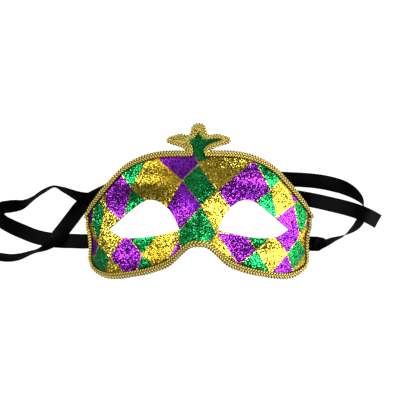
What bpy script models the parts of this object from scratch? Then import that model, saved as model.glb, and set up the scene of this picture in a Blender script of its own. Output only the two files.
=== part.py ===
"""Harlequin half mask with a fleur crest, two gimp trims and two tie ribbons.

The mask lies face up on z = 0 with the wearer's brow towards +Y and its left
temple towards +X. All sizes are in millimetres until to_metres() is applied.
Plan points are measured across from the mask's middle and up from the level
of the eye corners. Outline tables hold them as shares: across as a share of
TEMPLE_REACH, and up as a share of BROW_UP.
"""
import math

import bpy
import numpy as np

# Driving dimensions in millimetres
TEMPLE_REACH = 91.6        # plan, middle to the temple's foot on z = 0
BROW_UP = 62.0             # plan, eye corners to the top of the brow
ARCH_DEPTH = 49.4          # height of the plain arch over the temple edges
TEMPLE_TURN = 70.0         # degrees that the arch turns from middle to temple
WALL = 1.2                 # moulded plastic
NOSE_HEIGHT = 15.0
SOCKET_DEPTH = 8.0
BROW_RIDGE = 2.8
CHEEK_RIDGE = 1.5
BRAID_WIDTH = 5.0
BRAID_THICK = 1.4
BRAID_OVERHANG = 0.8       # past the moulded edge
NECK_CLEAR = 7.2           # each brow arc of the trim ends this far from the middle
TRIM_INSET = 0.7           # up from the foot of the temples, where no trim overhangs
TRIM_LIFT = (0.2, 3.5)     # edge heights between which inset turns to overhang
TRIM_END_GAP = 2.8         # lower trim ends this far before the temple corner
RIBBON_WIDTH = 12.0
RIBBON_THICK = 1.0
GLUE_GAP = 0.3             # left between pieces that are glued together
CREST_PROUD = 0.12         # the crest's plate stands this far out of both wall faces
FRAME_SHIFT = 22.7         # eye corner level to the middle of the plan box

# Shape of the arch: levels as shares of BROW_UP
TEMPLE_LEVEL = 0.08        # where the mask is widest
TEMPLE_TAPER = 0.097       # share of the reach lost one BROW_UP away from there
LEAN_LEVEL = 0.13          # where the arch is deepest
LEAN_SHARE = 0.20          # share of the depth lost one BROW_UP away from there
SIDE_FADE = 0.28           # relief dies out below this share of ARCH_DEPTH
# Nose, brow and socket forms: across as shares of TEMPLE_REACH, up of BROW_UP
NOSE_TOP = 0.435
NOSE_FULL = -0.13
NOSE_SPREAD = 0.142
BROW_LEVEL = 0.65
BROW_SPREAD = 0.12
BROW_MIDDLE = 0.47
BROW_REACH = 0.30
SOCKET_CENTRE = (0.482, 0.137)
SOCKET_SPREAD = (0.325, 0.258)
SOCKET_SOFTNESS = 1.9      # a higher value makes the socket's floor wider and its wall steeper
CHEEK_CENTRE = (0.561, -0.387)
CHEEK_SPREAD = (0.247, 0.145)

# The moulded edge from the middle of the nose notch round the cheek lobe
LOBE_EDGE = [
    (0.000, -0.184), (0.060, -0.198), (0.120, -0.261), (0.186, -0.355), (0.262, -0.442),
    (0.349, -0.498), (0.459, -0.547), (0.572, -0.581), (0.686, -0.610), (0.773, -0.618),
    (0.856, -0.590), (0.925, -0.531), (0.970, -0.458),
]
# On up the temple: a foot on z = 0, a rise that lets the ribbon out, a foot again
TEMPLE_LOWER = [
    (0.980, -0.406), (0.973, -0.331), (0.967, -0.274), (0.966, -0.194), (0.970, -0.129),
    (0.977, -0.055), (1.000, 0.013),
]
TEMPLE_UPPER = [
    (1.008, 0.048), (1.008, 0.129), (1.006, 0.206),
]
# The moulded edge from the upper temple corner to the middle of the brow
UPPER_EDGE = [
    (1.006, 0.206), (0.924, 0.381), (0.849, 0.513), (0.762, 0.652), (0.676, 0.777),
    (0.579, 0.877), (0.469, 0.945), (0.360, 0.985), (0.240, 0.998), (0.109, 1.000),
    (0.000, 1.000),
]
# Eye opening: outer corner over the top to the inner corner, and back below
EYE_UPPER = [
    (0.800, 0.005), (0.717, 0.103), (0.631, 0.213), (0.549, 0.305), (0.475, 0.369),
    (0.415, 0.390), (0.356, 0.373), (0.297, 0.319), (0.243, 0.239), (0.200, 0.129),
    (0.165, 0.005),
]
EYE_LOWER = [
    (0.165, 0.005), (0.262, -0.034), (0.349, -0.065), (0.459, -0.094), (0.572, -0.106),
    (0.678, -0.095), (0.750, -0.044), (0.800, 0.005),
]
# Where the eye's edge paths are parted to match the stretches of the moulded edge
EYE_LOBE_END = 0.88
EYE_TEMPLE_END = 0.10
EYE_BROW_END = 0.70
# Crest plate, right half, from the foot of the neck up to the knob
CREST_EDGE = [
    (0.039, 0.932), (0.039, 0.997), (0.068, 1.026), (0.098, 1.048), (0.137, 1.071),
    (0.188, 1.095), (0.240, 1.119), (0.266, 1.142), (0.258, 1.160), (0.207, 1.195),
    (0.153, 1.208), (0.109, 1.198), (0.077, 1.197), (0.061, 1.232), (0.055, 1.290),
    (0.035, 1.334), (0.000, 1.350),
]
# Trim on the crest, right half, outer edge from the foot up to the knob
CREST_TRIM_OUTER = [
    (0.090, 0.971), (0.090, 0.997), (0.106, 1.018), (0.137, 1.050), (0.190, 1.081),
    (0.243, 1.105), (0.274, 1.135), (0.272, 1.158), (0.210, 1.208), (0.153, 1.223),
    (0.114, 1.213), (0.081, 1.215), (0.070, 1.245), (0.063, 1.297), (0.041, 1.347),
    (0.000, 1.363),
]
# Inner edge of that trim: the right arm shows a longer field than the left arm
CREST_FIELD_RIGHT = [
    (0.000, 1.245), (0.019, 1.213), (0.039, 1.171), (0.071, 1.155), (0.131, 1.168),
    (0.192, 1.171), (0.207, 1.160), (0.174, 1.135), (0.120, 1.110), (0.079, 1.081),
    (0.051, 1.039), (0.046, 0.971),
]
CREST_FIELD_LEFT = [
    (-0.046, 0.971), (-0.051, 1.039), (-0.063, 1.087), (-0.093, 1.123), (-0.100, 1.142),
    (-0.071, 1.155), (-0.039, 1.171), (-0.019, 1.213),
]
CREST_BASE = 1.0           # share of BROW_UP where the crest's plane touches the brow

# Free run of each ribbon, by hand: across, up, lean in degrees, lift in millimetres.
# The lean turns the ribbon about its own line; 90 is on edge.
LEFT_RIBBON_RUN = [
    (-1.045, -0.160, 0, 0.0), (-1.113, -0.156, 0, 0.0), (-1.227, -0.152, 0, 0.0),
    (-1.342, -0.135, 0, 0.0), (-1.459, -0.097, 0, 0.0), (-1.575, -0.029, 6, 0.0),
    (-1.677, 0.040, 18, 0.0), (-1.757, 0.110, 30, 0.0), (-1.801, 0.195, 36, 0.0),
    (-1.765, 0.277, 36, 0.0), (-1.685, 0.302, 34, 0.0), (-1.603, 0.321, 44, 0.0),
    (-1.540, 0.353, 66, 0.0), (-1.468, 0.416, 80, 0.0), (-1.378, 0.508, 80, 0.0),
    (-1.285, 0.568, 84, 0.0), (-1.209, 0.526, 70, 0.0), (-1.138, 0.479, 60, 1.0),
    (-1.067, 0.432, 46, 1.4), (-0.979, 0.397, 26, 1.4), (-0.882, 0.398, 8, 1.4),
    (-0.775, 0.445, 0, 1.4), (-0.651, 0.498, 0, 1.4), (-0.499, 0.524, 0, 1.4),
    (-0.346, 0.552, 0, 0.5), (-0.168, 0.573, 0, 0.0), (0.011, 0.579, 0, 0.0),
    (0.190, 0.573, 0, 0.0), (0.369, 0.544, 0, 0.0), (0.512, 0.511, 0, 0.0),
    (0.682, 0.466, 0, 0.0), (0.817, 0.434, 0, 0.5), (0.939, 0.405, 0, 1.5),
    (1.065, 0.369, 0, 4.0), (1.185, 0.327, 0, 7.6), (1.307, 0.282, 0, 10.8),
    (1.402, 0.239, 0, 12.4), (1.492, 0.185, 0, 11.4), (1.600, 0.103, 0, 5.0),
]
RIGHT_RIBBON_RUN = [
    (1.048, -0.192, 0, 0.0), (1.077, -0.195, -22, 0.0), (1.113, -0.187, -54, 0.0),
    (1.191, -0.139, -74, 0.0), (1.288, -0.084, -90, 0.0), (1.365, -0.010, -112, 0.0),
    (1.425, 0.079, -126, 0.0), (1.461, 0.182, -122, 0.0), (1.469, 0.287, -102, 0.0),
    (1.445, 0.384, -74, 0.0), (1.389, 0.471, -50, 0.0), (1.306, 0.544, -28, 0.0),
    (1.200, 0.594, -12, 0.0), (1.076, 0.631, 0, 0.0), (0.933, 0.652, 0, 0.0),
    (0.817, 0.660, 0, 0.0), (0.691, 0.673, 0, 0.0), (0.566, 0.706, 0, 0.0),
    (0.422, 0.752, 0, 0.0), (0.235, 0.787, 0, 0.0), (0.011, 0.797, 0, 0.0),
    (-0.213, 0.789, 0, 0.0), (-0.391, 0.755, 0, 0.0), (-0.544, 0.685, 0, 0.0),
    (-0.687, 0.594, 0, 0.0), (-0.847, 0.485, 0, 0.0), (-0.955, 0.404, 0, 0.0),
    (-1.043, 0.313, 0, 0.0), (-1.124, 0.165, 0, 1.3), (-1.204, 0.011, 0, 1.4),
    (-1.279, -0.124, 20, 1.4), (-1.360, -0.226, 58, 1.4), (-1.440, -0.281, 78, 0.5),
    (-1.512, -0.318, 74, 0.0), (-1.593, -0.358, 66, 0.0), (-1.681, -0.374, 62, 0.0),
    (-1.770, -0.361, 60, 0.0), (-1.851, -0.344, 58, 0.0),
]
# Where each ribbon is glued up the inside of a temple wall
GLUED_ACROSS = (0.869, 0.914, 0.953, 0.976)
GLUED_EASE = (0.5, 0.42, 0.32, 0.2)      # more than the glue gap, where the wall curves
# Last points before each ribbon leaves the rim: across, and height in millimetres
UNDER_RIM = ((0.980, 0.55), (1.018, 0.5))

# Mesh densities
RING_ROWS = 8
LOBE_COLUMNS = 32
TEMPLE_COLUMNS = 6
BROW_COLUMNS = 28
MIDDLE_COLUMNS = 16
TRIM_STEP = 3.2
RIBBON_STEP = 4.6


def to_metres(points):
    """Millimetre points in plan about the eye corners, moved into the part's frame."""
    placed = np.array(points, dtype=float) / 1000.0
    placed[..., 1] -= FRAME_SHIFT / 1000.0
    return placed


def clear_scene():
    for item in list(bpy.data.objects):
        bpy.data.objects.remove(item, do_unlink=True)


def make_collection(name):
    group = bpy.data.collections.new(name)
    bpy.context.scene.collection.children.link(group)
    return group


def make_material(name, color, roughness, metallic):
    material = bpy.data.materials.new(name)
    material.use_nodes = True
    shader = material.node_tree.nodes["Principled BSDF"]
    shader.inputs["Base Color"].default_value = (*color, 1.0)
    shader.inputs["Roughness"].default_value = roughness
    shader.inputs["Metallic"].default_value = metallic
    return material


def smoothstep(low, high, value):
    share = np.clip((value - low) / (high - low), 0.0, 1.0)
    return share * share * (3.0 - 2.0 * share)


def from_shares(table):
    """An outline table's shares turned into millimetres in plan."""
    return [(across * TEMPLE_REACH, up * BROW_UP) for across, up in table]


def temple_reach(up):
    """How far across the front face meets z = 0, narrowing above and below the temples."""
    return TEMPLE_REACH * (1.0 - TEMPLE_TAPER * (up / BROW_UP - TEMPLE_LEVEL) ** 2)


def temple_turn(up):
    """Change of that reach per millimetre up."""
    return -2.0 * TEMPLE_REACH * TEMPLE_TAPER / BROW_UP * (up / BROW_UP - TEMPLE_LEVEL)


def hump(value, centre, spread):
    """How far a share lies from a centre, in spreads."""
    return (value - centre) / spread


def front_height(across, up):
    """Height of the mask's front face over a plan point.

    The base is a cosine arch that leans back at brow and cheeks. On it stand
    the nose ridge, brow and cheek ridges, and the sockets sink around the eyes.
    """
    across = np.abs(np.asarray(across, dtype=float))
    up = np.asarray(up, dtype=float)
    turn = math.radians(TEMPLE_TURN)
    side = across * math.sin(turn) / temple_reach(up)
    arch = np.sqrt(np.clip(1.0 - side ** 2, 0.0, 1.0)) - math.cos(turn)
    x, y = across / TEMPLE_REACH, up / BROW_UP
    base = ARCH_DEPTH * arch / (1.0 - math.cos(turn))
    base = base * (1.0 - LEAN_SHARE * (y - LEAN_LEVEL) ** 2)
    nose = smoothstep(NOSE_TOP, NOSE_FULL, y) * np.exp(-hump(x, 0.0, NOSE_SPREAD) ** 2)
    brow = np.exp(-hump(y, BROW_LEVEL, BROW_SPREAD) ** 2 - hump(x, BROW_MIDDLE, BROW_REACH) ** 4)
    socket = hump(x, SOCKET_CENTRE[0], SOCKET_SPREAD[0]) ** 2
    socket = socket + hump(y, SOCKET_CENTRE[1], SOCKET_SPREAD[1]) ** 2
    socket = np.exp(-(socket / SOCKET_SOFTNESS) ** 2)
    cheek = hump(x, CHEEK_CENTRE[0], CHEEK_SPREAD[0]) ** 2
    cheek = np.exp(-cheek - hump(y, CHEEK_CENTRE[1], CHEEK_SPREAD[1]) ** 2)
    relief = NOSE_HEIGHT * nose + BROW_RIDGE * brow + CHEEK_RIDGE * cheek - SOCKET_DEPTH * socket
    return base + smoothstep(0.0, SIDE_FADE, base / ARCH_DEPTH) * relief


def front_point(across, up):
    return np.stack([across, up, front_height(across, up)], axis=-1)


def front_normal(across, up):
    """Unit normals of the front face, from small steps along it."""
    step = 0.05
    slope_x = (front_height(across + step, up) - front_height(across - step, up)) / (2 * step)
    slope_y = (front_height(across, up + step) - front_height(across, up - step)) / (2 * step)
    normal = np.stack([-slope_x, -slope_y, np.ones_like(slope_x)], axis=-1)
    return normal / np.linalg.norm(normal, axis=-1, keepdims=True)


def smooth_path(points, dense=12):
    """A smooth curve through the points: cubic spans with slopes from the neighbours."""
    points = np.array(points, dtype=float)
    chord = np.linalg.norm(np.diff(points[:, :2], axis=0), axis=1)
    at = np.concatenate([[0.0], np.cumsum(chord)])
    rise = np.diff(points, axis=0) / chord[:, None]
    slope = np.empty_like(points)
    weight = chord[1:] / (chord[:-1] + chord[1:])
    slope[1:-1] = rise[:-1] * weight[:, None] + rise[1:] * (1.0 - weight)[:, None]
    slope[0] = 1.5 * rise[0] - 0.5 * slope[1]
    slope[-1] = 1.5 * rise[-1] - 0.5 * slope[-2]
    spans = []
    share = np.linspace(0.0, 1.0, dense, endpoint=False)[:, None]
    for i, length in enumerate(chord):
        start, end = points[i], points[i + 1]
        swing = (start - end) * (2 * share ** 3 - 3 * share ** 2)
        lead = slope[i] * length * (share ** 3 - 2 * share ** 2 + share)
        trail = slope[i + 1] * length * (share ** 3 - share ** 2)
        spans.append(start + swing + lead + trail)
    return np.vstack(spans + [points[-1:]])


def at_shares(path, shares):
    """Points at the given shares of the path's length."""
    steps = np.linalg.norm(np.diff(path[:, :2], axis=0), axis=1)
    at = np.concatenate([[0.0], np.cumsum(steps)])
    wanted = np.asarray(shares) * at[-1]
    return np.stack([np.interp(wanted, at, path[:, k]) for k in range(path.shape[1])], axis=1)


def share_of_point(path, point):
    """The share of a path's length at which it passes a point that lies on it."""
    steps = np.linalg.norm(np.diff(path[:, :2], axis=0), axis=1)
    at = np.concatenate([[0.0], np.cumsum(steps)])
    nearest = np.linalg.norm(path[:, :2] - np.array(point), axis=1).argmin()
    return at[nearest] / at[-1]


def mirrored(points):
    """A path over the middle: the points' mirror image in reverse, then the points."""
    flipped = [(-across, up) for across, up in reversed(points)]
    return flipped[:-1] + points


def lower_half_path():
    whole = smooth_path(mirrored(from_shares(LOBE_EDGE + TEMPLE_LOWER + TEMPLE_UPPER)))
    return whole[len(whole) // 2:]


def upper_half_path():
    """From the temple corner to the middle of the brow."""
    whole = smooth_path(mirrored(from_shares(UPPER_EDGE[::-1])))
    return whole[len(whole) // 2:][::-1]


def mesh_object(name, vertices, faces, group):
    mesh = bpy.data.meshes.new(name)
    mesh.from_pydata([tuple(v) for v in vertices], [], faces)
    item = bpy.data.objects.new(name, mesh)
    group.objects.link(item)
    return item


def grid_object(name, grid, group, closed=False):
    """A sheet of quads over a grid of points, rows along the first index."""
    rows, columns = grid.shape[:2]
    faces = []
    for i in range(rows if closed else rows - 1):
        here = i * columns
        after = ((i + 1) % rows) * columns
        for j in range(columns - 1):
            faces.append((here + j, here + j + 1, after + j + 1, after + j))
    return mesh_object(name, grid.reshape(-1, 3), faces, group)


def add_mirror(item):
    mirror = item.modifiers.new("other_half", "MIRROR")
    mirror.merge_threshold = 0.0001
    return mirror


def add_wall(item, thickness, offset):
    wall = item.modifiers.new("wall", "SOLIDIFY")
    wall.thickness = thickness / 1000.0
    wall.offset = offset
    wall.use_even_offset = True
    return wall


def add_boolean(item, operation, other):
    cut = item.modifiers.new(operation.lower(), "BOOLEAN")
    cut.operation = operation
    cut.solver = "EXACT"
    cut.object = other
    return cut


def hide_cutter(item):
    item.hide_render = True
    item.display_type = "WIRE"


def crest_plane():
    """Middle point, up direction and normal of the plane that the crest lies in."""
    base = front_point(0.0, CREST_BASE * BROW_UP)
    ahead = front_point(0.0, CREST_BASE * BROW_UP + 0.1) - front_point(0.0, CREST_BASE * BROW_UP - 0.1)
    ahead = ahead / np.linalg.norm(ahead)
    return base, ahead, np.array([0.0, -ahead[2], ahead[1]])


def crest_piece(name, outline, front_offset, thickness, group):
    """A flat plate of the given plan outline, lying in the crest's plane."""
    base, ahead, normal = crest_plane()
    outline = np.array(outline)
    along = (outline[:, 1] - base[1]) / ahead[1]
    flat = base + outline[:, :1] * np.array([1.0, 0.0, 0.0]) + along[:, None] * ahead
    count = len(outline)
    top = flat + normal * front_offset
    bottom = flat + normal * (front_offset - thickness)
    faces = [tuple(range(count)), tuple(range(2 * count - 1, count - 1, -1))]
    for i in range(count):
        after = (i + 1) % count
        faces.append((i, i + count, after + count, after))
    return mesh_object(name, to_metres(np.vstack([top, bottom])), faces, group)


def floor_cutter(group):
    """A block under z = 0 that gives the temple edges their flat feet."""
    bpy.ops.mesh.primitive_cube_add(size=1.0, location=(0.0, 0.0, -0.01))
    block = bpy.context.active_object
    block.name = "cut_floor"
    block.scale = (0.3, 0.2, 0.02)
    for other in list(block.users_collection):
        other.objects.unlink(block)
    group.objects.link(block)
    hide_cutter(block)
    return block


def section(path, low, high, count):
    return at_shares(path, np.linspace(low, high, count, endpoint=False))


def shell_half_grid():
    """Half of the front face as rings from the eye opening out to the edge."""
    lower = lower_half_path()
    upper = upper_half_path()
    middle = np.array([upper[-1], lower[0]])
    eye_upper = smooth_path(from_shares(EYE_UPPER))
    eye_lower = smooth_path(from_shares(EYE_LOWER))
    lobe_end = share_of_point(lower, from_shares(LOBE_EDGE)[-1])
    temple_middle = share_of_point(lower, from_shares(TEMPLE_LOWER)[-1])
    edge = np.vstack([
        section(lower, 0.0, lobe_end, LOBE_COLUMNS),
        section(lower, lobe_end, temple_middle, TEMPLE_COLUMNS),
        section(lower, temple_middle, 1.0, TEMPLE_COLUMNS),
        section(upper, 0.0, 1.0, BROW_COLUMNS),
        section(middle, 0.0, 1.0, MIDDLE_COLUMNS),
    ])
    eye = np.vstack([
        section(eye_lower, 0.0, EYE_LOBE_END, LOBE_COLUMNS),
        section(eye_lower, EYE_LOBE_END, 1.0, TEMPLE_COLUMNS),
        section(eye_upper, 0.0, EYE_TEMPLE_END, TEMPLE_COLUMNS),
        section(eye_upper, EYE_TEMPLE_END, EYE_BROW_END, BROW_COLUMNS),
        section(eye_upper, EYE_BROW_END, 1.0, MIDDLE_COLUMNS),
    ])
    share = np.linspace(0.0, 1.0, RING_ROWS + 1)[None, :, None]
    plan = eye[:, None, :] * (1.0 - share) + edge[:, None, :] * share
    return front_point(plan[..., 0], plan[..., 1])


def make_shell(group, cutters):
    shell = grid_object("mask_shell", to_metres(shell_half_grid()), group, closed=True)
    add_mirror(shell)
    add_wall(shell, WALL, -1.0)
    crest = crest_piece("join_crest", full_outline(from_shares(CREST_EDGE)), CREST_PROUD,
                        WALL + 2 * CREST_PROUD, cutters)
    hide_cutter(crest)
    add_boolean(shell, "UNION", crest)
    add_boolean(shell, "DIFFERENCE", floor_cutter(cutters))
    return shell


def full_outline(half):
    """A half outline that ends on the middle, closed with its mirror image."""
    flipped = [(-across, up) for across, up in reversed(half)]
    return half + flipped[1:]


def trim_grid(path, lap_start, lap_end, gap):
    """A strip on the front face along an edge path, from past the edge inwards.

    The overhang turns into a small inset where the moulded edge nears z = 0.
    """
    tangent = np.gradient(path, axis=0)
    tangent = tangent / np.linalg.norm(tangent, axis=1, keepdims=True)
    inward = np.stack([-tangent[:, 1], tangent[:, 0]], axis=1)
    if lap_start:
        inward[0] = (0.0, 1.0 if path[0, 1] < 0.0 else -1.0)
    if lap_end:
        inward[-1] = (0.0, 1.0 if path[-1, 1] < 0.0 else -1.0)
    edge_height = front_height(path[:, 0], path[:, 1])
    over = TRIM_INSET - (TRIM_INSET + BRAID_OVERHANG) * smoothstep(*TRIM_LIFT, edge_height)
    floor_line = np.minimum(edge_height, 0.0)
    rows = []
    for share in (0.0, 0.33, 0.67, 1.0):
        reach = over + share * BRAID_WIDTH
        probe = path + inward * 0.5
        slope = (front_height(probe[:, 0], probe[:, 1]) - edge_height) / 0.5
        plan_step = (reach - floor_line) / np.sqrt(1.0 + slope ** 2)
        spot = path + inward * plan_step[:, None]
        point = front_point(spot[:, 0], spot[:, 1])
        rows.append(point + front_normal(spot[:, 0], spot[:, 1]) * gap)
    return np.stack(rows, axis=1)


def path_length(path):
    return np.linalg.norm(np.diff(path[:, :2], axis=0), axis=1).sum()


def make_lower_trim(group):
    """The trim round both cheek lobes and the nose notch, temple to temple."""
    lower = lower_half_path()
    end = 1.0 - TRIM_END_GAP / path_length(lower)
    count = int(path_length(lower) / TRIM_STEP)
    path = at_shares(lower, np.linspace(0.0, end, count))
    grid = trim_grid(path, True, False, GLUE_GAP + 0.05)
    grid[0, :, 0] = 0.0
    trim = grid_object("braid_lower", to_metres(grid), group)
    for polygon in trim.data.polygons:
        polygon.flip()
    add_mirror(trim)
    add_wall(trim, BRAID_THICK, 1.0)
    return trim


def make_upper_trim(group, cutters):
    """The trim over the brow: two arcs joined by the run round the crest."""
    upper = upper_half_path()
    arc_length = path_length(upper) - NECK_CLEAR
    path = at_shares(upper, np.linspace(0.0, arc_length / path_length(upper),
                                        int(arc_length / TRIM_STEP)))
    grid = trim_grid(path, False, False, GLUE_GAP + 0.05)
    arc = grid_object("braid_upper", to_metres(grid), group)
    for polygon in arc.data.polygons:
        polygon.flip()
    add_mirror(arc)
    add_wall(arc, BRAID_THICK, 1.0)
    outline = full_outline(from_shares(CREST_TRIM_OUTER))
    outline = outline + from_shares(CREST_FIELD_LEFT + CREST_FIELD_RIGHT)
    ring = crest_piece("join_crest_trim", outline, CREST_PROUD + GLUE_GAP + BRAID_THICK,
                       BRAID_THICK, cutters)
    hide_cutter(ring)
    add_boolean(arc, "UNION", ring)
    return arc


def glued_end(side, up):
    """Ribbon stations up the inside of a temple wall and out under its edge.

    The end runs square to the wall, whose reach changes with the level.
    """
    reach = np.array(GLUED_ACROSS) * TEMPLE_REACH
    last = UNDER_RIM[-1][0] * TEMPLE_REACH
    turn = -temple_turn(up)
    across = side * reach
    level = up + turn * (reach - last)
    depth = WALL + GLUE_GAP + RIBBON_THICK / 2.0 + np.array(GLUED_EASE)[:, None]
    normal = front_normal(across, level)
    inside = front_point(across, level) - normal * depth
    lean = -np.degrees(np.arctan(side * (normal[:, 1] - turn * side * normal[:, 0])))
    stations = [(x, y, z, tilt) for (x, y, z), tilt in zip(inside, lean)]
    for share, height in UNDER_RIM:
        reach = share * TEMPLE_REACH
        stations.append((side * reach, up + turn * (reach - last), height, 0.0))
    return stations


def ribbon_stations(side, run):
    """Stations of centre x, y, z and lean: the glued end, then the free run."""
    stations = glued_end(side, run[0][1] * BROW_UP)
    for across_share, up_share, lean, lift in run:
        across, up = across_share * TEMPLE_REACH, up_share * BROW_UP
        tilt = math.radians(lean)
        half_height = RIBBON_WIDTH / 2 * abs(math.sin(tilt))
        half_height += RIBBON_THICK / 2 * abs(math.cos(tilt))
        stations.append((across, up, lift + half_height, float(lean)))
    return stations


def make_ribbon(name, side, run, group):
    """A flat ribbon lofted along its stations, turned by the lean at each."""
    path = smooth_path(ribbon_stations(side, run))
    count = int(path_length(path) / RIBBON_STEP)
    path = at_shares(path, np.linspace(0.0, 1.0, count))
    tangent = np.gradient(path[:, :3], axis=0)
    flat = tangent * np.array([1.0, 1.0, 0.0])
    flat = flat / np.linalg.norm(flat, axis=1, keepdims=True)
    level = np.stack([-flat[:, 1], flat[:, 0], np.zeros(count)], axis=1)
    tangent = tangent / np.linalg.norm(tangent, axis=1, keepdims=True)
    lifted = np.cross(tangent, level)
    lean = np.radians(path[:, 3])[:, None]
    over = level * np.cos(lean) + lifted * np.sin(lean)
    face = np.cross(tangent, over)
    wide, thick = over * RIBBON_WIDTH / 2, face * RIBBON_THICK / 2
    centre = path[:, :3]
    corners = [centre - wide - thick, centre + wide - thick,
               centre + wide + thick, centre - wide + thick]
    loop = np.stack(corners + corners[:1], axis=1)
    loop[..., 2] = np.maximum(loop[..., 2], 0.0)
    rings = loop[:, :4]
    vertices = to_metres(rings.reshape(-1, 3))
    faces = [(3, 2, 1, 0), tuple(4 * (count - 1) + k for k in range(4))]
    for i in range(count - 1):
        for k in range(4):
            after = (k + 1) % 4
            faces.append((4 * i + k, 4 * i + after, 4 * i + 4 + after, 4 * i + 4 + k))
    return mesh_object(name, vertices, faces, group)


def main():
    clear_scene()
    parts = make_collection("harlequin_mask")
    cutters = make_collection("cutters")
    glitter = make_material("mask_glitter", (0.42, 0.30, 0.10), 0.45, 0.6)
    gimp = make_material("gold_gimp", (0.80, 0.58, 0.16), 0.35, 0.9)
    satin = make_material("black_satin", (0.012, 0.012, 0.014), 0.4, 0.0)
    make_shell(parts, cutters).data.materials.append(glitter)
    make_lower_trim(parts).data.materials.append(gimp)
    make_upper_trim(parts, cutters).data.materials.append(gimp)
    for name, side, run in (("ribbon_left", -1.0, LEFT_RIBBON_RUN),
                            ("ribbon_right", 1.0, RIGHT_RIBBON_RUN)):
        make_ribbon(name, side, run, parts).data.materials.append(satin)


main()
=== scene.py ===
"""Looks of a harlequin half mask that lies face up with its two tie ribbons.

Shapes are in millimetres until placed() turns them into metres. Camera, lights,
floor and patterns are in metres. Plan points are measured across from the mask's
middle and up from the eye corners. Outline tables hold shares: across of
TEMPLE_REACH, and up of BROW_UP.
"""
import math

import bpy
import numpy as np
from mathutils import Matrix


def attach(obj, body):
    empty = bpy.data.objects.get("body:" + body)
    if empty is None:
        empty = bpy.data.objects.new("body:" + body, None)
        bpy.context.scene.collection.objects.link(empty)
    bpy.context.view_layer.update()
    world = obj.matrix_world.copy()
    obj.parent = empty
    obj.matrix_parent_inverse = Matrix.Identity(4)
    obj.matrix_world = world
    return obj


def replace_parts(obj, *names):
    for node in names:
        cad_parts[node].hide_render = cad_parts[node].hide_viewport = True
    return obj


# The moulded form, as in the frame
TEMPLE_REACH = 91.6
BROW_UP = 62.0
ARCH_DEPTH = 49.4
TEMPLE_TURN = math.radians(70.0)
WALL = 1.2
FRAME_SHIFT = 22.7
TEMPLE_LEVEL, TEMPLE_TAPER = 0.08, 0.097
LEAN_LEVEL, LEAN_SHARE = 0.13, 0.20
SIDE_FADE = 0.28
NOSE_HEIGHT, NOSE_TOP, NOSE_FULL, NOSE_SPREAD = 15.0, 0.435, -0.13, 0.142
BROW_RIDGE, BROW_LEVEL, BROW_SPREAD = 2.8, 0.65, 0.12
BROW_MIDDLE, BROW_REACH = 0.47, 0.30
SOCKET_DEPTH, SOCKET_SOFTNESS = 8.0, 1.9
SOCKET_CENTRE, SOCKET_SPREAD = (0.482, 0.137), (0.325, 0.258)
CHEEK_RIDGE, CHEEK_CENTRE, CHEEK_SPREAD = 1.5, (0.561, -0.387), (0.247, 0.145)
NORMAL_STEP = 0.05  # slopes are measured over this much each way

# Grids of one half: (rows from eye to edge, times as many columns as HALF_COLUMNS)
HALF_COLUMNS = (32, 6, 28, 16)  # lobe, half a temple edge, brow, middle
COAT_GRID, SHELL_GRID = (46, 6), (26, 3)

# Glitter coat
SKIN_GAP = 0.12  # its outer face over the moulded plastic
COAT_FOOT = 0.3  # its lowest spots over the surface that the mask lies on
LINE_HALF_WIDTH = 0.4  # of the raised line on a border between two diamonds
LINE_HEIGHT = 0.2
TRIM_SHADE_FULL, TRIM_SHADE_END = 0.6, 1.4  # painted shade along a trim: full up to the first distance from it, none past the second
TRIM_SHADE_STRENGTH = 0.88  # how much of its dark brown the painted shade lays over the glitter at full
FLAKE_SIZE = 0.0006  # real flakes are about 0.3 mm; drawn coarser, as the eye sees clumps
FLAKE_LEAN = 0.62  # tips the flakes by about 14 degrees, and by 32 at most
FLAKE_STOPS = (0.22, 0.52, 0.85)
GREEN_FLAKES = ("#01200A", "#0A8034", "#2CE07C")
GOLD_FLAKES = ("#463002", "#D2A41A", "#FFF260")
PURPLE_FLAKES = ("#120026", "#6A10AC", "#CE48F6")
LINE_FLAKES = ("#4A2404", "#B47A18", "#FFE070")
GLITTER_FINISH = {"roughness": 0.34, "metallic": 0.9, "specular": 0.3}

# Runs of gimp along the edges and on the crest
BRAID_WIDTH, CREST_BRAID_WIDTH, CREST_INNER_WIDTH = 4.7, 3.4, 2.6
BRAID_GAP = 0.3  # its backing over the face that it lies on
BRAID_OVERHANG = 0.8  # a trim stands out this far past the moulded edge, but
TRIM_INSET = 0.7  # starts this far inside it where the edge comes down to z = 0,
TRIM_LIFT = (0.2, 3.5)  # one giving way to the other between these edge heights
TRIM_PROBE = 0.5  # the slope beside the edge is measured this far in
TRIM_END_GAP = 2.8  # the lower trim ends this far before the temple corners
BROW_TAIL = 2.2  # the brow trims run on this far past them,
TAIL_LENGTH, TAIL_LIFT = 6.0, 1.7  # and rise over this length to lie over the lower trim
NECK_CLEAR = 5.2  # they end this far from the middle, at the crest's neck
EDGE_LEVEL, FIELD_LEVEL, LEAF_LEVEL = 0.2, 0.6, 1.0  # the crest's runs over its face
GROUND_LEVELS = (0.2, 0.9)  # foot and top of the plate that fills in between them
TRIM_DENSE = 24  # points to a span of a run's line
LOWER_POINTS, BROW_POINTS = 2400, 900  # of a trim's line before it is spaced evenly

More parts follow.
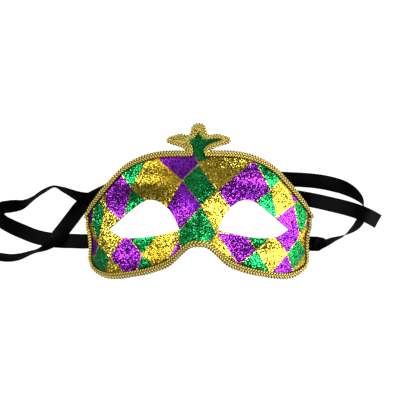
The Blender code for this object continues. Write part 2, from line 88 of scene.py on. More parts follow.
# Gimp: two cores wrapped with thread, their places in shares of its width
BRAID_ACROSS = np.linspace(0.0, 1.0, 23)
BRAID_STEP = 0.2  # spacing of the grid along it
BACKING_RISE, BRAID_FOOT = 0.05, 0.15  # the backing over its gap; the lowest spots over z = 0
CORE_CENTRES, CORE_REACH, CORE_ROUND = (0.27, 0.73), 0.24, 0.96
TAPE_HEIGHT, BRAID_HEIGHT = 0.3, 1.35  # the tape, and the wrapped cores on it
CORE_SHARE, WRAP_SHARE = 0.45, 0.55  # of the latter: the core, and a turn of thread
TURN_PITCH = 2.2  # wrapped turns lie about 1 mm apart; drawn coarser, to show as grains
TURN_SLANT, TURN_STAGGER = 0.30, 0.25  # in turns: to a core's side, and where each core starts
TURN_SHADE, TURN_POWER = 1.9, 1.3  # how the painted shade grows between two turns,
SIDE_SHADE, SIDE_POWER = 0.5, 6  # and down a core's sides
PICOT_PITCH, PICOT_RISE, PICOT_SHARE = 2.5, 0.8, 0.16

# Ribbons
RIBBON_WIDTH = 12.0
RIBBON_THICK = 0.36
RIBBON_LEVEL = 0.5  # stations of a flat stretch over what it lies on, as in the frame
GLUE_GAP = 0.3  # between a glued end and the wall
RIBBON_STEP, RIBBON_COLUMNS = 1.1, 17
EDGE_START, EDGE_EXTRA = 0.9, 0.6  # the woven edge: from this share out, thicker by this
BOW, BOW_ALONG, BOW_ACROSS = 0.25, 9.0, 2.1
PRESS_LEVEL, PRESS_SHARE, PRESS_DEPTH = 0.02, 0.001, 3.0
CORD_DROP, CORD_FOOT, CORD_POINTS = 0.3, 0.2, 160  # of the middle line, which is worked out but not used

# Picture
CAMERA_PLACE, CAMERA_LENS, CAMERA_SENSOR = (0.00104, 0.0013, 1.25), 137.2, 36.0
LIGHT_AIM = (0.0, 0.0, 0.03)
ROOM_LIGHT = 0.05
FLOOR_REACH, FLOOR_GLOW = 8.0, 0.10  # half its side; the share of its glow that lights the mask

LOBE_EDGE = [
    (0.000, -0.184), (0.060, -0.198), (0.120, -0.261), (0.186, -0.355), (0.262, -0.442),
    (0.349, -0.498), (0.459, -0.547), (0.572, -0.581), (0.686, -0.610), (0.773, -0.618),
    (0.856, -0.590), (0.925, -0.531), (0.970, -0.458),
]
TEMPLE_LOWER = [
    (0.980, -0.406), (0.973, -0.331), (0.967, -0.274), (0.966, -0.194), (0.970, -0.129),
    (0.977, -0.055), (1.000, 0.013),
]
TEMPLE_UPPER = [
    (1.008, 0.048), (1.008, 0.129), (1.006, 0.206),
]
UPPER_EDGE = [
    (1.006, 0.206), (0.924, 0.381), (0.849, 0.513), (0.762, 0.652), (0.676, 0.777),
    (0.579, 0.877), (0.469, 0.945), (0.360, 0.985), (0.240, 0.998), (0.109, 1.000),
    (0.000, 1.000),
]
LOWER_EDGE = LOBE_EDGE + TEMPLE_LOWER + TEMPLE_UPPER
EYE_UPPER = [
    (0.800, 0.005), (0.717, 0.103), (0.631, 0.213), (0.549, 0.305), (0.475, 0.369),
    (0.415, 0.390), (0.356, 0.373), (0.297, 0.319), (0.243, 0.239), (0.200, 0.129),
    (0.165, 0.005),
]
EYE_LOWER = [
    (0.165, 0.005), (0.262, -0.034), (0.349, -0.065), (0.459, -0.094), (0.572, -0.106),
    (0.678, -0.095), (0.750, -0.044), (0.800, 0.005),
]
# Shares of the eye's lines that face the ends of lobe, temple edge and brow
EYE_LOBE_END, EYE_TEMPLE_END, EYE_BROW_END = 0.88, 0.10, 0.70
CREST_EDGE = [
    (0.039, 0.932), (0.039, 0.997), (0.068, 1.026), (0.098, 1.048), (0.137, 1.071),
    (0.188, 1.095), (0.240, 1.119), (0.266, 1.142), (0.258, 1.160), (0.207, 1.195),
    (0.153, 1.208), (0.109, 1.198), (0.077, 1.197), (0.061, 1.232), (0.055, 1.290),
    (0.035, 1.334), (0.000, 1.350),
]
CREST_TRIM_OUTER = [
    (0.090, 0.971), (0.090, 0.997), (0.106, 1.018), (0.137, 1.050), (0.190, 1.081),
    (0.243, 1.105), (0.274, 1.135), (0.272, 1.158), (0.210, 1.208), (0.153, 1.223),
    (0.114, 1.213), (0.081, 1.215), (0.070, 1.245), (0.063, 1.297), (0.041, 1.347),
    (0.000, 1.363),
]
CREST_FIELD_RIGHT = [
    (0.000, 1.245), (0.019, 1.213), (0.039, 1.171), (0.071, 1.155), (0.131, 1.168),
    (0.192, 1.171), (0.207, 1.160), (0.174, 1.135), (0.120, 1.110), (0.079, 1.081),
    (0.051, 1.039), (0.046, 0.971),
]
CREST_FIELD_LEFT = [
    (-0.046, 0.971), (-0.051, 1.039), (-0.063, 1.087), (-0.093, 1.123), (-0.100, 1.142),
    (-0.071, 1.155), (-0.039, 1.171), (-0.019, 1.213),
]
CREST_FIELD = CREST_FIELD_LEFT + CREST_FIELD_RIGHT
CREST_LEAF_VEIN = [(-0.225, 1.150), (-0.170, 1.148), (-0.120, 1.130), (-0.085, 1.098)]

# Free run of each ribbon: across, up, lean in degrees, lift in millimetres
LEFT_RIBBON_RUN = [
    (-1.045, -0.160, 0, 0.0), (-1.113, -0.156, 0, 0.0), (-1.227, -0.152, 0, 0.0),
    (-1.342, -0.135, 0, 0.0), (-1.459, -0.097, 0, 0.0), (-1.575, -0.029, 6, 0.0),
    (-1.677, 0.040, 18, 0.0), (-1.757, 0.110, 30, 0.0), (-1.801, 0.195, 36, 0.0),
    (-1.765, 0.277, 36, 0.0), (-1.685, 0.302, 34, 0.0), (-1.603, 0.321, 44, 0.0),
    (-1.540, 0.353, 66, 0.0), (-1.468, 0.416, 80, 0.0), (-1.378, 0.508, 80, 0.0),
    (-1.285, 0.568, 84, 0.0), (-1.209, 0.526, 70, 0.0), (-1.138, 0.479, 60, 1.0),
    (-1.067, 0.432, 46, 1.4), (-0.979, 0.397, 26, 1.4), (-0.882, 0.398, 8, 1.4),
    (-0.775, 0.445, 0, 1.4), (-0.651, 0.498, 0, 1.4), (-0.499, 0.524, 0, 1.4),
    (-0.346, 0.552, 0, 0.5), (-0.168, 0.573, 0, 0.0), (0.011, 0.579, 0, 0.0),
    (0.190, 0.573, 0, 0.0), (0.369, 0.544, 0, 0.0), (0.512, 0.511, 0, 0.0),
    (0.682, 0.466, 0, 0.0), (0.817, 0.434, 0, 0.5), (0.939, 0.405, 0, 1.5),
    (1.065, 0.369, 0, 4.0), (1.185, 0.327, 0, 7.6), (1.307, 0.282, 0, 10.8),
    (1.402, 0.239, 0, 12.4), (1.492, 0.185, 0, 11.4), (1.600, 0.103, 0, 5.0),
]
RIGHT_RIBBON_RUN = [
    (1.048, -0.192, 0, 0.0), (1.077, -0.195, -22, 0.0), (1.113, -0.187, -54, 0.0),
    (1.191, -0.139, -74, 0.0), (1.288, -0.084, -90, 0.0), (1.365, -0.010, -112, 0.0),
    (1.425, 0.079, -126, 0.0), (1.461, 0.182, -122, 0.0), (1.469, 0.287, -102, 0.0),
    (1.445, 0.384, -74, 0.0), (1.389, 0.471, -50, 0.0), (1.306, 0.544, -28, 0.0),
    (1.200, 0.594, -12, 0.0), (1.076, 0.631, 0, 0.0), (0.933, 0.652, 0, 0.0),
    (0.817, 0.660, 0, 0.0), (0.691, 0.673, 0, 0.0), (0.566, 0.706, 0, 0.0),
    (0.422, 0.752, 0, 0.0), (0.235, 0.787, 0, 0.0), (0.011, 0.797, 0, 0.0),
    (-0.213, 0.789, 0, 0.0), (-0.391, 0.755, 0, 0.0), (-0.544, 0.685, 0, 0.0),
    (-0.687, 0.594, 0, 0.0), (-0.847, 0.485, 0, 0.0), (-0.955, 0.404, 0, 0.0),
    (-1.043, 0.313, 0, 0.0), (-1.124, 0.165, 0, 1.3), (-1.204, 0.011, 0, 1.4),
    (-1.279, -0.124, 20, 1.4), (-1.360, -0.226, 58, 1.4), (-1.440, -0.281, 78, 0.5),
    (-1.512, -0.318, 74, 0.0), (-1.593, -0.358, 66, 0.0), (-1.681, -0.374, 62, 0.0),
    (-1.770, -0.361, 60, 0.0), (-1.851, -0.344, 58, 0.0),
]
# Glued end: across, and ease inside the wall; past the rim: across, and height
GLUED_ACROSS = (0.869, 0.914, 0.953, 0.976)
GLUED_EASE = (0.5, 0.42, 0.32, 0.2)
UNDER_RIM = ((0.980, 0.55), (1.018, 0.5))

# Diamonds as corners in plan millimetres; a spot takes the one it lies deepest in
DIAMONDS = [
    ("gold", [(-0.9, 53.7), (12.9, 55.3), (28.8, 56.1), (44.0, 55.1), (15.1, 31.7)]),
    ("green", [(-0.1, 51.8), (12.9, 33.1), (2.5, 20.5), (-12.1, 39.0)]),
    ("green", [(-3.3, 62.0), (-3.0, 59.0), (-1.8, 54.5), (0.8, 53.9), (3.4, 56.0), (6.8, 57.1),
     (4.6, 59.7), (4.9, 62.0)]),
    ("purple", [(16.0, 31.7), (43.6, 54.3), (57.3, 31.8), (45.8, 22.8), (36.8, 27.2), (29.6, 24.8),
     (24.4, 18.4)]),
    ("green", [(46.1, 55.1), (55.4, 49.6), (65.9, 40.4), (57.7, 32.1)]),
    ("gold", [(58.1, 32.3), (65.3, 39.8), (73.6, 30.4), (76.8, 20.8), (63.4, 10.7)]),
    ("green", [(46.9, 24.0), (57.6, 31.7), (62.9, 10.7), (55.5, 17.6)]),
    ("purple", [(73.6, 30.8), (78.3, 23.6), (76.7, 21.7)]),
    ("purple", [(76.3, 19.6), (63.4, 10.2), (70.4, 0.6), (60.4, -6.0), (71.0, -18.4), (80.4, -7.3),
     (81.3, -2.8)]),
    ("green", [(77.6, 22.4), (88.1, 12.6), (88.1, 3.6), (82.0, -2.8)]),
    ("gold", [(88.6, 12.3), (92.0, 10.1), (92.0, -17.0), (87.6, -17.6), (81.3, -6.6), (82.0, -3.1),
     (88.1, 3.4)]),
    ("purple", [(88.7, 9.5), (92.7, 5.2), (92.7, -4.2), (87.0, -1.4), (86.3, 4.6)]),
    ("green", [(80.7, -7.6), (87.4, -19.3), (76.0, -32.9), (71.4, -19.0)]),
    ("gold", [(87.7, -17.6), (92.8, -13.7), (92.8, -26.8), (76.3, -33.4)]),
    ("purple", [(71.0, -19.8), (76.3, -33.8), (73.8, -39.9), (58.9, -34.0)]),
    ("gold", [(46.3, -16.4), (57.9, -5.6), (61.2, -5.3), (70.9, -18.8), (57.8, -34.0)]),
    ("green", [(38.3, -4.7), (57.8, -5.6), (46.4, -15.6)]),
    ("green", [(45.4, -16.9), (57.1, -33.9), (55.4, -40.0), (32.7, -27.1)]),
    ("purple", [(14.8, -1.9), (27.2, -2.2), (38.2, -4.7), (45.1, -16.4), (31.1, -27.4)]),
    ("gold", [(16.1, 1.9), (28.0, 0.2), (28.4, -3.5), (16.8, -1.8)]),
    ("gold", [(15.2, 31.6), (23.7, 18.5), (18.5, 6.6), (14.4, -2.2), (2.5, 19.7)]),
    ("green", [(1.8, 18.5), (12.8, -0.1), (13.8, -2.8), (7.7, -11.9), (-6.8, -15.0),
     (-14.7, -11.4), (-15.5, -5.6), (-15.7, -0.2)]),
    ("gold", [(14.0, -2.8), (31.3, -27.5), (26.4, -32.2), (4.9, -12.6)]),
    ("purple", [(-31.1, 55.6), (-18.8, 58.9), (-1.3, 57.2), (-0.5, 52.3), (-13.2, 40.4)]),
    ("gold", [(-41.1, 55.8), (-31.7, 55.5), (-13.6, 39.5), (-24.5, 19.6), (-33.9, 24.8),
     (-42.9, 24.3), (-52.8, 33.2)]),
    ("green", [(-41.5, 55.6), (-62.2, 45.2), (-53.3, 34.4)]),
    ("purple", [(-63.0, 46.4), (-53.8, 32.8), (-58.3, 16.0), (-62.2, 8.3), (-65.0, 9.0),
     (-75.2, 20.5), (-73.9, 32.6)]),
    ("green", [(-53.0, 32.4), (-42.5, 23.5), (-59.3, 11.7), (-57.9, 19.2)]),
    ("gold", [(-74.8, 32.9), (-80.1, 23.6), (-76.1, 17.1), (-78.3, 2.0), (-81.5, -9.6),
     (-71.6, -21.7), (-60.5, -6.5), (-69.9, 0.6), (-63.7, 8.7), (-75.5, 17.9), (-75.7, 21.2)]),
    ("green", [(-80.3, 23.3), (-76.6, 16.8), (-78.8, 2.0), (-81.6, -9.6), (-86.6, 4.4),
     (-85.3, 15.9)]),
    ("purple", [(-85.7, 17.5), (-86.7, 4.4), (-90.6, 5.2), (-91.6, 14.2)]),
    ("gold", [(-90.6, 4.7), (-86.7, 4.2), (-81.8, -10.1), (-88.1, -4.1)]),
    ("purple", [(-90.6, -3.8), (-87.9, -4.8), (-81.4, -10.7), (-81.6, -14.9), (-84.6, -22.4),
     (-90.7, -12.9)]),
    ("green", [(-81.2, -12.9), (-72.2, -23.0), (-74.9, -35.0), (-85.3, -22.8)]),
    ("gold", [(-71.4, -22.2), (-61.2, -32.8), (-64.8, -38.7), (-75.8, -35.0)]),
    ("purple", [(-59.9, -5.8), (-55.8, -6.4), (-45.6, -19.3), (-48.7, -30.7), (-61.0, -32.7),
     (-70.6, -21.2)]),
    ("green", [(-55.5, -6.4), (-32.3, -4.0), (-45.0, -18.1)]),
    ("green", [(-44.7, -20.4), (-36.2, -26.4), (-38.7, -33.2), (-48.3, -30.9)]),
    ("gold", [(-32.0, -4.4), (-16.3, -0.3), (-15.7, -7.5), (-24.7, -23.0), (-30.6, -29.8),
     (-36.5, -26.9), (-44.8, -19.5)]),
    ("purple", [(-15.8, -8.3), (-14.3, -14.5), (-17.9, -24.9), (-24.7, -23.4)]),
    ("purple", [(-13.2, 38.6), (1.8, 19.3), (-15.9, -0.5), (-24.8, 19.2)]),
]


def srgb(code):
    """Linear colour of an sRGB hex code: the standard curve, channel by channel."""
    values = np.array([int(code[k:k + 2], 16) for k in (1, 3, 5)]) / 255.0
    linear = np.where(values <= 0.04045, values / 12.92, ((values + 0.055) / 1.055) ** 2.4)
    return (*linear.tolist(), 1.0)


def placed(points):
    """Plan millimetres moved to the frame: divided by 1000, and up less FRAME_SHIFT."""
    points = np.array(points, dtype=float) / 1000.0
    points[..., 1] -= FRAME_SHIFT / 1000.0
    return points


def smoothstep(low, high, value):
    """A rise from 0 to 1 between low and high: 3 s squared less 2 s cubed."""
    share = np.clip((value - low) / (high - low), 0.0, 1.0)
    return share * share * (3.0 - 2.0 * share)


def away(value, centre, spread):
    """How far a share lies from a centre, in spreads."""
    return (value - centre) / spread


def unit(vectors):
    """Vectors over their own lengths."""
    return vectors / np.linalg.norm(vectors, axis=-1, keepdims=True)


def from_shares(table):
    """Shares of an outline table multiplied by the two named sizes."""
    return [(across * TEMPLE_REACH, up * BROW_UP) for across, up in table]


def temple_reach(up):
    """Reach of the foot on z = 0: less by TEMPLE_TAPER times the level's share squared."""
    return TEMPLE_REACH * (1.0 - TEMPLE_TAPER * (up / BROW_UP - TEMPLE_LEVEL) ** 2)


def temple_turn(up):
    """Change of that reach per millimetre up, its derivative."""
    return -2.0 * TEMPLE_REACH * TEMPLE_TAPER / BROW_UP * (up / BROW_UP - TEMPLE_LEVEL)


def front_height(across, up):
    """Height of the front face: a cosine arch that leans back, plus its relief.

    Nose, brow and cheek are humps of e to minus the squared distance in spreads,
    for the brow to the fourth power across, and the socket is a flat-floored one
    taken away. All fade out near z = 0.
    """
    across = np.abs(np.asarray(across, dtype=float))
    up = np.asarray(up, dtype=float)
    side = across * math.sin(TEMPLE_TURN) / temple_reach(up)
    arch = np.sqrt(np.clip(1.0 - side ** 2, 0.0, 1.0)) - math.cos(TEMPLE_TURN)
    x, y = across / TEMPLE_REACH, up / BROW_UP
    base = ARCH_DEPTH * arch / (1.0 - math.cos(TEMPLE_TURN))
    base = base * (1.0 - LEAN_SHARE * (y - LEAN_LEVEL) ** 2)
    nose = smoothstep(NOSE_TOP, NOSE_FULL, y) * np.exp(-away(x, 0.0, NOSE_SPREAD) ** 2)
    brow = np.exp(-away(y, BROW_LEVEL, BROW_SPREAD) ** 2 - away(x, BROW_MIDDLE, BROW_REACH) ** 4)
    socket = away(x, SOCKET_CENTRE[0], SOCKET_SPREAD[0]) ** 2
    socket = socket + away(y, SOCKET_CENTRE[1], SOCKET_SPREAD[1]) ** 2
    socket = np.exp(-(socket / SOCKET_SOFTNESS) ** 2)
    cheek = away(x, CHEEK_CENTRE[0], CHEEK_SPREAD[0]) ** 2
    cheek = np.exp(-cheek - away(y, CHEEK_CENTRE[1], CHEEK_SPREAD[1]) ** 2)
    relief = NOSE_HEIGHT * nose + BROW_RIDGE * brow + CHEEK_RIDGE * cheek - SOCKET_DEPTH * socket
    return base + smoothstep(0.0, SIDE_FADE, base / ARCH_DEPTH) * relief


def front_point(across, up):
    """Points of the front face over plan points."""
    return np.stack([across, up, front_height(across, up)], axis=-1)


def front_normal(across, up):
    """Unit normals of the front face, from its height NORMAL_STEP to each side."""
    step = NORMAL_STEP
    slope_x = (front_height(across + step, up) - front_height(across - step, up)) / (2 * step)
    slope_y = (front_height(across, up + step) - front_height(across, up - step)) / (2 * step)
    return unit(np.stack([-slope_x, -slope_y, np.ones_like(slope_x)], axis=-1))


def plan_steps(path):
    """Distance in plan from each point of a path to the next."""
    return np.linalg.norm(np.diff(path[:, :2], axis=0), axis=1)


def smooth_path(points, dense=12):
    """A smooth curve through the points: cubic spans with slopes from the neighbours."""
    points = np.array(points, dtype=float)
    chord = plan_steps(points)
    rise = np.diff(points, axis=0) / chord[:, None]
    slope = np.empty_like(points)
    weight = (chord[1:] / (chord[:-1] + chord[1:]))[:, None]
    slope[1:-1] = rise[:-1] * weight + rise[1:] * (1.0 - weight)
    slope[0] = 1.5 * rise[0] - 0.5 * slope[1]
    slope[-1] = 1.5 * rise[-1] - 0.5 * slope[-2]
    share = np.linspace(0.0, 1.0, dense, endpoint=False)[None, :, None]
    start, end = points[:-1, None], points[1:, None]
    length = chord[:, None, None]
    spans = start + (start - end) * (2 * share ** 3 - 3 * share ** 2)
    spans = spans + slope[:-1, None] * length * (share ** 3 - 2 * share ** 2 + share)
    spans = spans + slope[1:, None] * length * (share ** 3 - share ** 2)
    return np.vstack([spans.reshape(-1, points.shape[1]), points[-1:]])


def path_length(path):
    """Length in plan of a path."""
    return plan_steps(path).sum()


def ways_along(path):
    """How far along in plan each point of a path lies."""
    return np.concatenate([[0.0], np.cumsum(plan_steps(path))])


def at_shares(path, shares):
    """Points at the given shares of a path's length in plan."""
    at = ways_along(path)
    wanted = np.asarray(shares) * at[-1]
    return np.stack([np.interp(wanted, at, path[:, k]) for k in range(path.shape[1])], axis=1)


def share_of_point(path, point):
    """The share of a path's length at which it passes a point that lies on it."""
    at = ways_along(path)
    return at[np.linalg.norm(path[:, :2] - np.array(point), axis=1).argmin()] / at[-1]


def section(path, low, high, count):
    """Evenly spaced points over a stretch of a path, its end left to the next."""
    return at_shares(path, np.linspace(low, high, count, endpoint=False))


def evenly(path):
    """A path with points every BRAID_STEP, and how far along each is."""
    length = path_length(path)
    count = int(length / BRAID_STEP)
    return at_shares(path, np.linspace(0.0, 1.0, count)), np.linspace(0.0, length, count)


def inward_ways(path):
    """Unit ways in plan at right angles to a path, to its left."""
    tangent = unit(np.gradient(path, axis=0))
    return np.stack([-tangent[:, 1], tangent[:, 0]], axis=1)


def flipped(points):
    """Plan points mirrored in the middle, in reverse order."""
    return [(-across, up) for across, up in reversed(points)]


def mirrored(points):
    """A path over the middle: the points' mirror image in reverse, then the points."""
    return flipped(points)[:-1] + points


def full_outline(half):
    """A half outline that ends on the middle, closed with its mirror image."""
    return half + flipped(half)[1:]


def mesh_piece(name, vertices, faces, material, smooth=True):
    """An object at the origin from an array of vertices in metres and from faces."""
    mesh = bpy.data.meshes.new(name)
    mesh.from_pydata(vertices.tolist(), [], [list(face) for face in faces])
    mesh.polygons.foreach_set("use_smooth", np.full(len(mesh.polygons), smooth))
    mesh.materials.append(material)
    piece = bpy.data.objects.new(name, mesh)
    bpy.context.scene.collection.objects.link(piece)
    return piece


def set_values(piece, name, values):
    """A number for every vertex, which a material reads by its name."""
    layer = piece.data.attributes.new(name, "FLOAT", "POINT")
    layer.data.foreach_set("value", np.asarray(values, dtype=np.float32).ravel())


def set_flat_map(piece, name, spots):
    """A UV map from a spot for every vertex: each face corner takes its vertex's."""
    layer = piece.data.uv_layers.new(name=name)
    corner = np.empty(len(piece.data.loops), dtype=np.int32)
    piece.data.loops.foreach_get("vertex_index", corner)
    layer.data.foreach_set("uv", spots[corner].ravel())


def grid_faces(rows, columns, wrap_rows=False, wrap_columns=False):
    """Quads between neighbours of a rows by columns grid of vertex numbers."""
    number = np.arange(rows * columns).reshape(rows, columns)
    if wrap_rows:
        number = np.vstack([number, number[:1]])
    if wrap_columns:
        number = np.hstack([number, number[:, :1]])
    quads = [number[:-1, :-1], number[:-1, 1:], number[1:, 1:], number[1:, :-1]]
    return np.stack(quads, axis=-1).reshape(-1, 4)


def tube_faces(rows, columns):
    """Outward faces of a strip that closes round: its quads, and one face on each end."""
    faces = grid_faces(rows, columns, wrap_columns=True)[:, ::-1].tolist()
    last = rows * columns - 1
    return faces + [list(range(columns)), list(range(last, last - columns, -1))]


def make_camera():
    """A camera straight above, turned so that the brow is up in the picture."""
    camera = bpy.data.objects.new("camera", bpy.data.cameras.new("camera"))
    camera.location = CAMERA_PLACE
    camera.data.sensor_width = CAMERA_SENSOR
    camera.data.lens = CAMERA_LENS
    bpy.context.scene.collection.objects.link(camera)
    bpy.context.scene.camera = camera


def add_node(tree, kind, settings=None, inputs=None):
    """A shader node with its settings, and its inputs set or linked."""
    node = tree.nodes.new(kind)
    for name, value in (settings or {}).items():
        setattr(node, name, value)
    for name, value in (inputs or {}).items():
        if isinstance(value, bpy.types.NodeSocket):
            tree.links.new(value, node.inputs[name])
        else:
            node.inputs[name].default_value = value
    return node


def new_material(name, roughness, metallic, specular=0.5):
    """A material with plain values on its shader, then its tree and the shader."""
    material = bpy.data.materials.new(name)
    material.use_nodes = True
    tree = material.node_tree
    shader = tree.nodes["Principled BSDF"]
    shader.inputs["Roughness"].default_value = roughness
    shader.inputs["Metallic"].default_value = metallic
    shader.inputs["Specular IOR Level"].default_value = specular
    return material, tree, shader


def flake_field(tree):
    """Glitter flakes FLAKE_SIZE across: a random number and a tilted normal each.

    Each Voronoi cell is one flake. Its random colour, less a half and times
    FLAKE_LEAN, is added to the surface normal.
    """
    spot = add_node(tree, "ShaderNodeTexCoord")
    cells = add_node(tree, "ShaderNodeTexVoronoi", {},
                     {"Vector": spot.outputs["Object"], "Scale": 1.0 / FLAKE_SIZE})
    lean = add_node(tree, "ShaderNodeVectorMath", {"operation": "SUBTRACT"},
                    {0: cells.outputs["Color"], 1: (0.5, 0.5, 0.5)})
    lean = add_node(tree, "ShaderNodeVectorMath", {"operation": "SCALE"},
                    {0: lean.outputs[0], "Scale": FLAKE_LEAN})
    face = add_node(tree, "ShaderNodeNewGeometry")
    turned = add_node(tree, "ShaderNodeVectorMath", {"operation": "ADD"},
                      {0: face.outputs["Normal"], 1: lean.outputs[0]})
    turned = add_node(tree, "ShaderNodeVectorMath", {"operation": "NORMALIZE"},
                      {0: turned.outputs[0]})
    parts = add_node(tree, "ShaderNodeSeparateColor", {}, {"Color": cells.outputs["Color"]})
    return parts.outputs[0], turned.outputs[0]


def flake_ramp(tree, share, colours):
    """A flake's colour from its random share: most are middling, a few dark or light."""
    ramp = add_node(tree, "ShaderNodeValToRGB", {}, {"Fac": share})
    stops = ramp.color_ramp.elements
    stops[0].position, stops[0].color = FLAKE_STOPS[0], srgb(colours[0])
    stops[1].position, stops[1].color = FLAKE_STOPS[2], srgb(colours[2])
    stops.new(FLAKE_STOPS[1]).color = srgb(colours[1])
    return ramp.outputs["Color"]


def make_diamond_glitter():
    """Loose glitter sifted over glue on moulded plastic: sparkling, grainy diamonds.

    The colour attributes hold how far a spot lies outside the nearest diamond of
    each colour, and the lowest of the three wins. The line attribute is half the
    nearest diamond's lead over the next, and a raised line of gold glitter glue
    runs where it is small. A dark brown line of painted shade runs along the trims.
    """
    material, tree, shader = new_material("diamond_glitter", **GLITTER_FINISH)
    share, turned = flake_field(tree)
    green, gold, purple, line = (
        flake_ramp(tree, share, colours)
        for colours in (GREEN_FLAKES, GOLD_FLAKES, PURPLE_FLAKES, LINE_FLAKES))
    depth = {name: add_node(tree, "ShaderNodeAttribute", {"attribute_name": name}).outputs["Fac"]
             for name in ("to_green", "to_gold", "to_purple", "to_line", "to_trim")}
    gold_wins = add_node(tree, "ShaderNodeMath", {"operation": "LESS_THAN"},
                         {0: depth["to_gold"], 1: depth["to_green"]})
    other = add_node(tree, "ShaderNodeMath", {"operation": "MINIMUM"},
                     {0: depth["to_gold"], 1: depth["to_green"]})
    purple_wins = add_node(tree, "ShaderNodeMath", {"operation": "LESS_THAN"},
                           {0: depth["to_purple"], 1: other.outputs[0]})
    on_line = add_node(tree, "ShaderNodeMath", {"operation": "LESS_THAN"},
                       {0: depth["to_line"], 1: LINE_HALF_WIDTH})
    # Painted shade: dark brown over the glitter along the trims' inner edge
    trim_shade = add_node(tree, "ShaderNodeMapRange", {"interpolation_type": "SMOOTHSTEP"},
                    {"Value": depth["to_trim"], "From Min": TRIM_SHADE_FULL, "From Max": TRIM_SHADE_END,
                     "To Min": TRIM_SHADE_STRENGTH, "To Max": 0.0})
    color = green
    for amount, over in ((gold_wins, gold), (purple_wins, purple), (on_line, line),
                         (trim_shade, srgb("#2A1204"))):
        color = add_node(tree, "ShaderNodeMix", {"data_type": "RGBA"},
                         {"Factor": amount.outputs[0], 6: color, 7: over}).outputs[2]
    tree.links.new(color, shader.inputs["Base Color"])
    tree.links.new(turned, shader.inputs["Normal"])
    return material


def make_crest_glitter():
    """The same sifted glitter, all green, on the crest's flat field."""
    material, tree, shader = new_material("crest_glitter", **GLITTER_FINISH)
    share, turned = flake_field(tree)
    tree.links.new(flake_ramp(tree, share, GREEN_FLAKES), shader.inputs["Base Color"])
    tree.links.new(turned, shader.inputs["Normal"])
    return material


def make_moulded_plastic():
    """Vacuum-formed black plastic, a little uneven: the shell's back and cut edges."""
    material, tree, shader = new_material("moulded_plastic", roughness=0.42, metallic=0.0)
    shader.inputs["Base Color"].default_value = srgb("#0B0A0C")
    spot = add_node(tree, "ShaderNodeTexCoord")
    # A scale of 260 to the metre gives waves about 4 mm long
    grain = add_node(tree, "ShaderNodeTexNoise", {},
                     {"Vector": spot.outputs["Object"], "Scale": 260.0, "Detail": 3.0})
    bump = add_node(tree, "ShaderNodeBump", {},
                    {"Height": grain.outputs[0], "Strength": 0.25, "Distance": 0.0003})
    tree.links.new(bump.outputs[0], shader.inputs["Normal"])
    return material


def make_gimp():
    """Gold gimp: metallised thread wrapped round two cores, painted shade between the turns."""
    material, tree, shader = new_material("gold_gimp_thread", roughness=0.35, metallic=0.3)
    hollow_shade = add_node(tree, "ShaderNodeAttribute", {"attribute_name": "hollow_shade"}).outputs["Fac"]
    spot = add_node(tree, "ShaderNodeTexCoord")
    # Worn and cleaner stretches of thread, about 2 mm each
    wear = add_node(tree, "ShaderNodeTexNoise", {},
                    {"Vector": spot.outputs["Object"], "Scale": 420.0, "Detail": 2.0})
    # Painted shade: the thread's gold darkens to brown as the hollow shade grows
    ramp = add_node(tree, "ShaderNodeValToRGB", {}, {"Fac": hollow_shade})
    stops = ramp.color_ramp.elements
    stops[0].position, stops[0].color = 0.0, srgb("#FFF07A")
    stops[1].position, stops[1].color = 1.0, srgb("#2A1602")
    stops.new(0.45).color = srgb("#F2C63C")
    stops.new(0.75).color = srgb("#4A2C04")
    color = add_node(tree, "ShaderNodeMix", {"data_type": "RGBA", "blend_type": "MULTIPLY"},
                     {"Factor": 0.35, 6: ramp.outputs["Color"], 7: wear.outputs["Color"]})
    tree.links.new(color.outputs[2], shader.inputs["Base Color"])
    return material


def make_satin():
    """Woven black satin ribbon: floating threads give a broad dim sheen along it."""
    material, tree, shader = new_material("black_satin_weave", roughness=0.55, metallic=0.0,
                                          specular=0.05)
    shader.inputs["Base Color"].default_value = srgb("#010101")
    shader.inputs["Anisotropic"].default_value = 0.5
    ribs = add_node(tree, "ShaderNodeUVMap", {"uv_map": "along_across"})
    # Satin's ribs are about 0.2 mm; drawn 1.4 mm apart, as closer ones blur away
    wave = add_node(tree, "ShaderNodeTexWave", {"bands_direction": "X"},
                    {"Vector": ribs.outputs["UV"], "Scale": 230.0, "Distortion": 0.6,
                     "Detail": 1.0})
    bump = add_node(tree, "ShaderNodeBump", {},
                    {"Height": wave.outputs[0], "Strength": 0.25, "Distance": 0.0001})
    tree.links.new(bump.outputs[0], shader.inputs["Normal"])
    return material


def glued_end(side, up):
    """Ribbon stations up the inside of a temple wall and out under its edge.

    Each lies one wall, one gap, RIBBON_LEVEL and its own ease inside the front
    face, and the end runs square to the wall, whose reach changes with the level.
    """
    reach = np.array(GLUED_ACROSS) * TEMPLE_REACH
    last = UNDER_RIM[-1][0] * TEMPLE_REACH
    turn = -temple_turn(up)
    across, level = side * reach, up + turn * (reach - last)
    depth = WALL + GLUE_GAP + RIBBON_LEVEL + np.array(GLUED_EASE)[:, None]
    normal = front_normal(across, level)
    inside = front_point(across, level) - normal * depth
    lean = -np.degrees(np.arctan(side * (normal[:, 1] - turn * side * normal[:, 0])))
    stations = [(x, y, z, tilt) for (x, y, z), tilt in zip(inside, lean)]
    for share, height in UNDER_RIM:
        reach = share * TEMPLE_REACH
        stations.append((side * reach, up + turn * (reach - last), height, 0.0))
    return stations


def ribbon_stations(side, run):
    """Stations of centre x, y, z and lean: the glued end, then the free run.

    A leaning ribbon's middle stands half its width times the lean's sine up, and
    RIBBON_LEVEL times its cosine.
    """
    stations = glued_end(side, run[0][1] * BROW_UP)
    for across, up, lean, lift in run:
        tilt = math.radians(lean)
        rise = RIBBON_WIDTH / 2 * abs(math.sin(tilt)) + RIBBON_LEVEL * abs(math.cos(tilt))
        stations.append((across * TEMPLE_REACH, up * BROW_UP, lift + rise, lean))
    return stations


